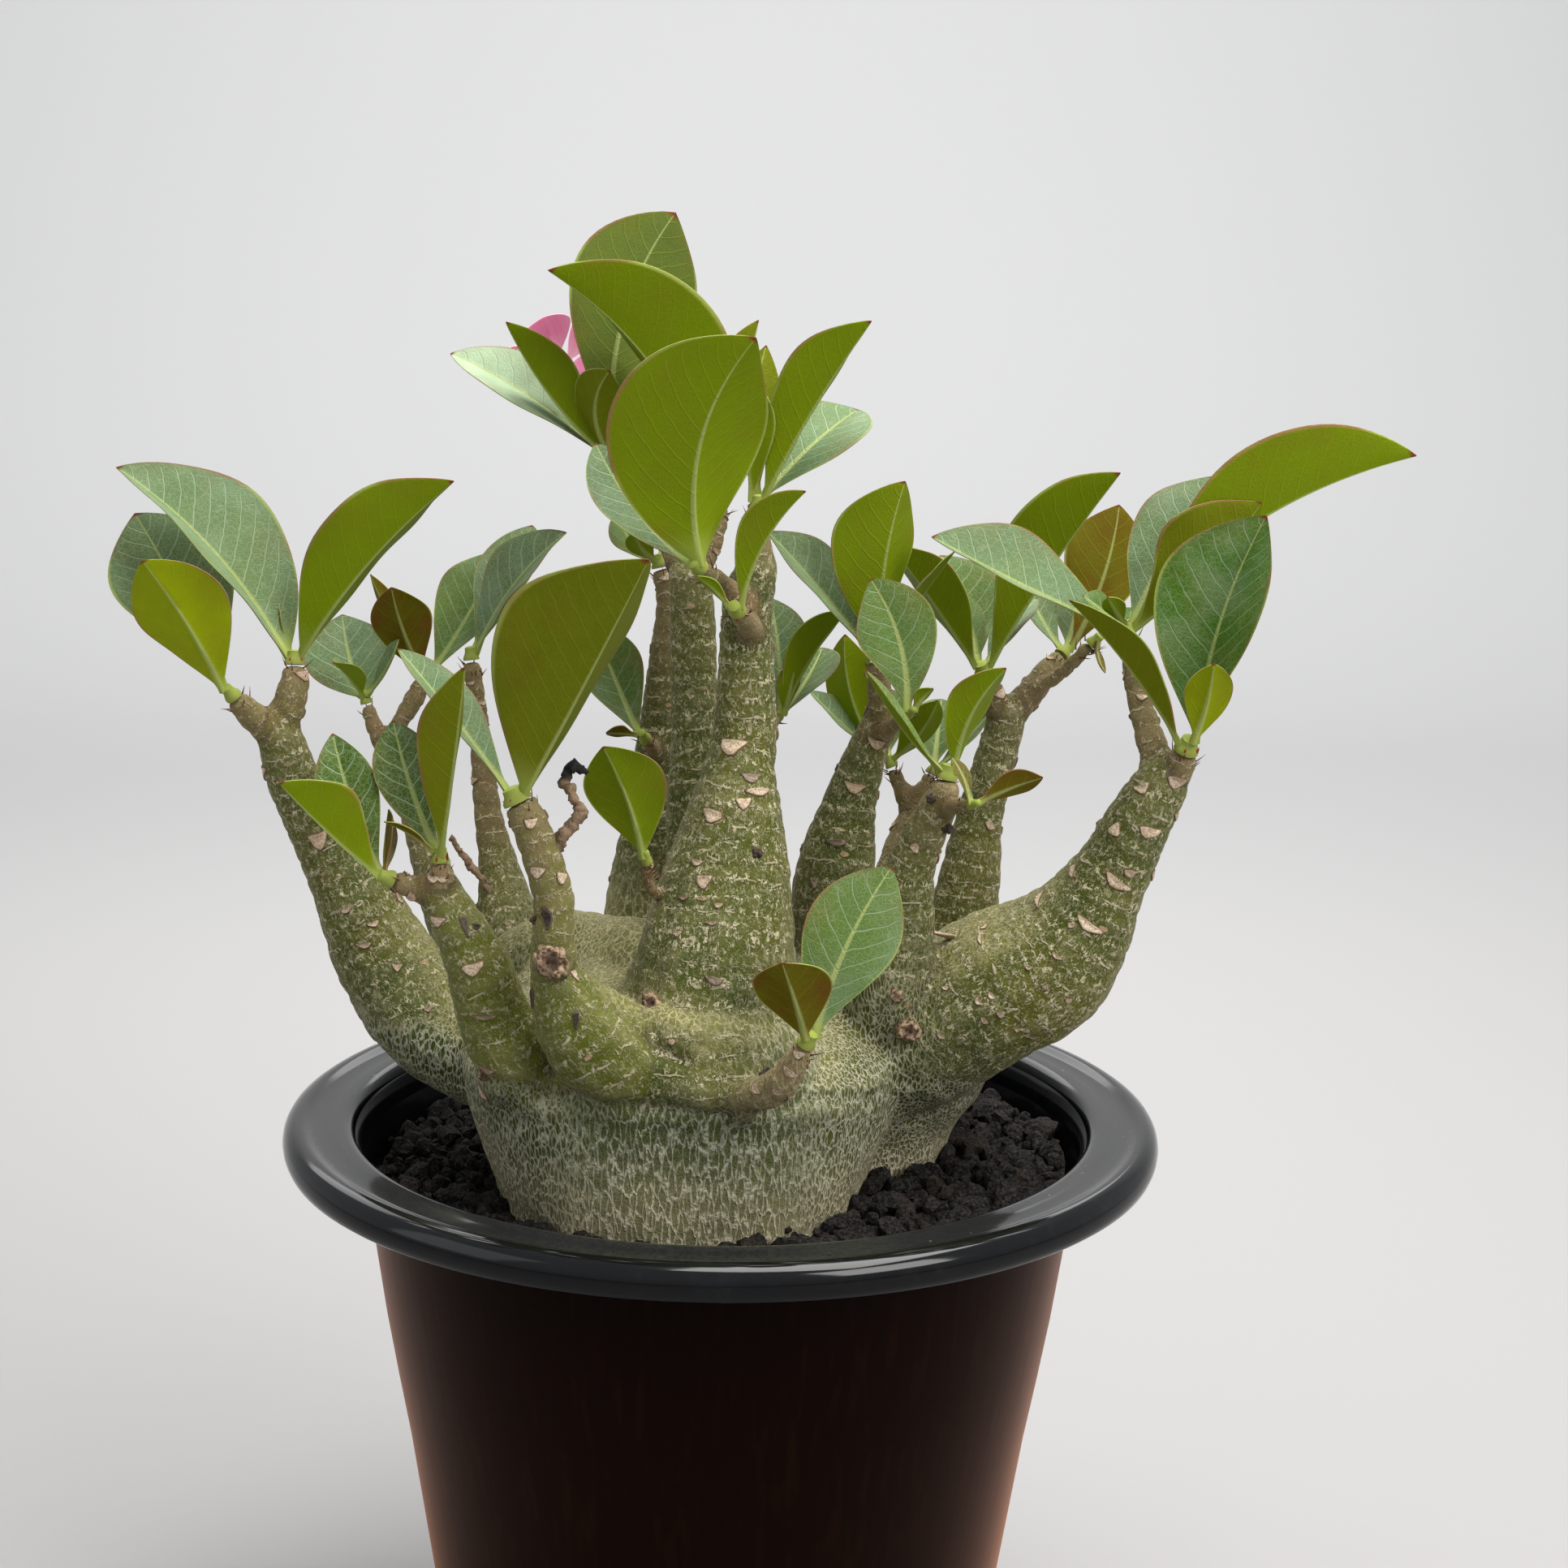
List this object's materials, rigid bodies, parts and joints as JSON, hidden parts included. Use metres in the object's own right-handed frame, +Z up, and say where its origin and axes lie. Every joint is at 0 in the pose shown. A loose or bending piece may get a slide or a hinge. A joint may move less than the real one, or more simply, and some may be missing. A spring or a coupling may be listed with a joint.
{
  "type": "potted desert rose",
  "caption": "Potted desert rose: swollen two-lobed caudex with thick branching arms, rosettes of folded leaves and one pink flower, in a wide-rimmed round pot of volcanic grit.",
  "frame": {"origin": "centre of the flat underside of the pot, on the surface it stands on", "axes": "+Z up along the pot's axis, the plant's best side towards -Y, +X to the right in that view"},
  "size_m": [0.3313, 0.2348, 0.4301],
  "materials": {
    "pot_plastic": "glossy black-brown",
    "grit": "rough porous volcanic grit",
    "bark": "olive-grey bark with pale fissures",
    "leaf": "leathery green",
    "petal": "soft satin pink"
  },
  "bodies": {
    "root": {"pot": "pot_plastic", "soil": "grit", "caudex": "bark", "leaves_left_arm_twig_right": "leaf", "leaves_left_arm_twig_left": "leaf", "leaves_front_left_twig_left": "leaf", "leaves_front_left_twig_right": "leaf", "leaves_front_mid": "leaf", "leaves_rear_far_left_twig_left": "leaf", "leaves_rear_far_left_twig_right": "leaf", "leaves_rear_left_thin": "leaf", "leaves_mid_left_twig_left": "leaf", "leaves_mid_left_twig_up": "leaf", "leaves_centre_twig": "leaf", "leaves_centre": "leaf", "leaves_centre_bud": "leaf", "leaves_rear_left_tall": "leaf", "leaves_rear_left_bud": "leaf", "leaves_centre_side_bud": "leaf", "leaves_centre_rear_bud": "leaf", "leaves_right_centre": "leaf", "leaves_right_centre_bud": "leaf", "leaves_front_right": "leaf", "leaves_front_right_bud": "leaf", "leaves_rear_right_twig_left": "leaf", "leaves_rear_right_twig_right": "leaf", "leaves_rear_right_twig_far": "leaf", "leaves_right_arm_twig_left": "leaf", "leaves_right_arm_twig_right": "leaf", "leaves_front_twig": "leaf", "leaves_rear_centre_right_twig_left": "leaf", "leaves_rear_centre_right_twig_right": "leaf", "flower": "petal"}
  },
  "joints": []
}
